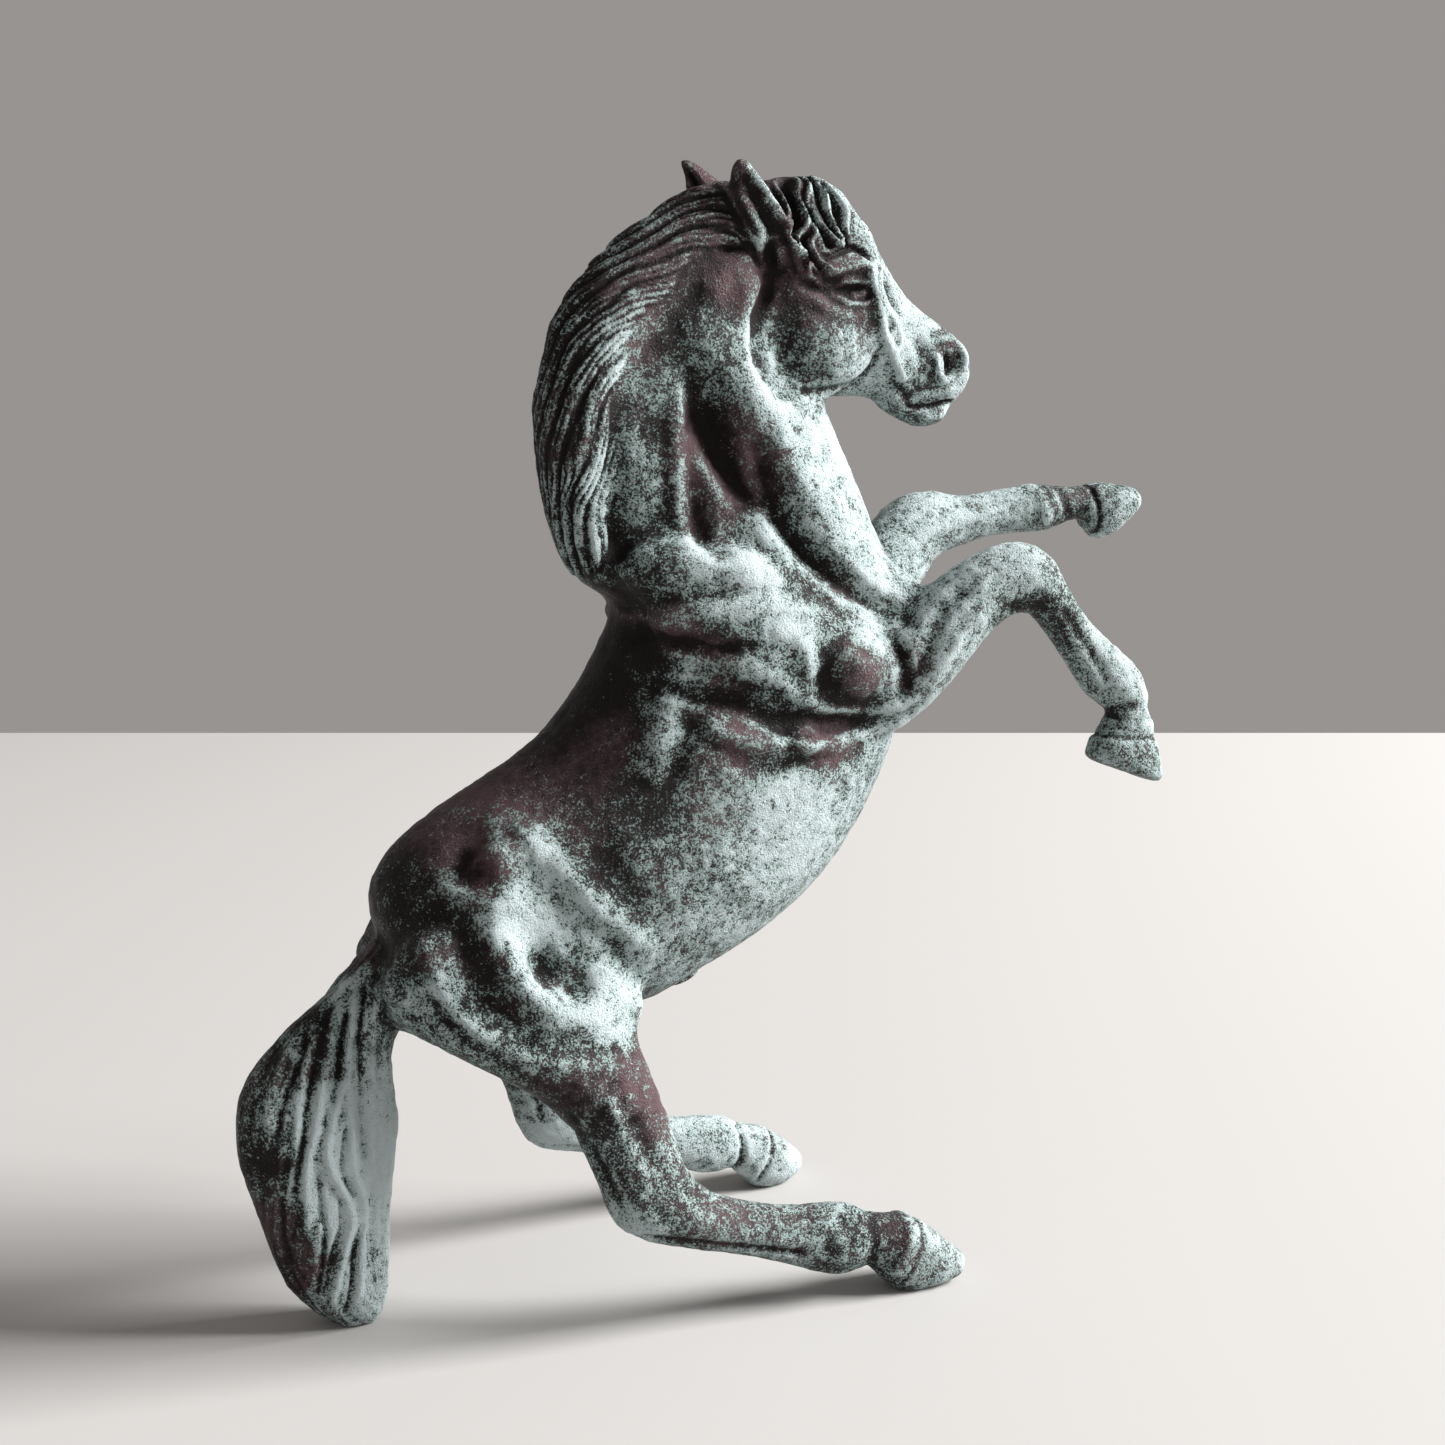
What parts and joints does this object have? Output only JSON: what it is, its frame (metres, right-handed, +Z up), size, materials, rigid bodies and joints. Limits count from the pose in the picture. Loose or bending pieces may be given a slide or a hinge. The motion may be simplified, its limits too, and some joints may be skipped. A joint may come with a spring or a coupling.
{
  "type": "rearing horse statue",
  "caption": "Verdigris bronze figure of a horse rearing up, standing on its two hind hooves and the tip of its tail, with an arched neck and both forelegs raised.",
  "frame": {"origin": "on the surface the statue stands on, under the middle of its bounding box", "axes": "+X the way the horse faces, +Y its left side, +Z up"},
  "size_m": [0.2284, 0.0838, 0.25],
  "materials": {
    "verdigris_bronze": "cast bronze under a grey-green verdigris that has worn to dark brown on the high and the sheltered places",
    "pin_bronze": "dark brown bronze rod, chased flush"
  },
  "bodies": {
    "root": {"torso_shell": "verdigris_bronze", "neck_and_head": "verdigris_bronze", "right_foreleg": "verdigris_bronze", "left_foreleg": "verdigris_bronze", "right_hind_leg": "verdigris_bronze", "left_hind_leg": "verdigris_bronze", "tail": "verdigris_bronze", "right_foreleg_pin": "pin_bronze", "left_foreleg_pin": "pin_bronze", "right_hind_leg_pin": "pin_bronze", "left_hind_leg_pin": "pin_bronze", "tail_pin": "pin_bronze", "neck_pin_right": "pin_bronze", "neck_pin_left": "pin_bronze", "core_pin_right_1": "pin_bronze", "core_pin_left_1": "pin_bronze", "core_pin_right_2": "pin_bronze", "core_pin_left_2": "pin_bronze", "core_pin_right_3": "pin_bronze", "core_pin_left_3": "pin_bronze", "core_plug": "pin_bronze"}
  },
  "joints": []
}
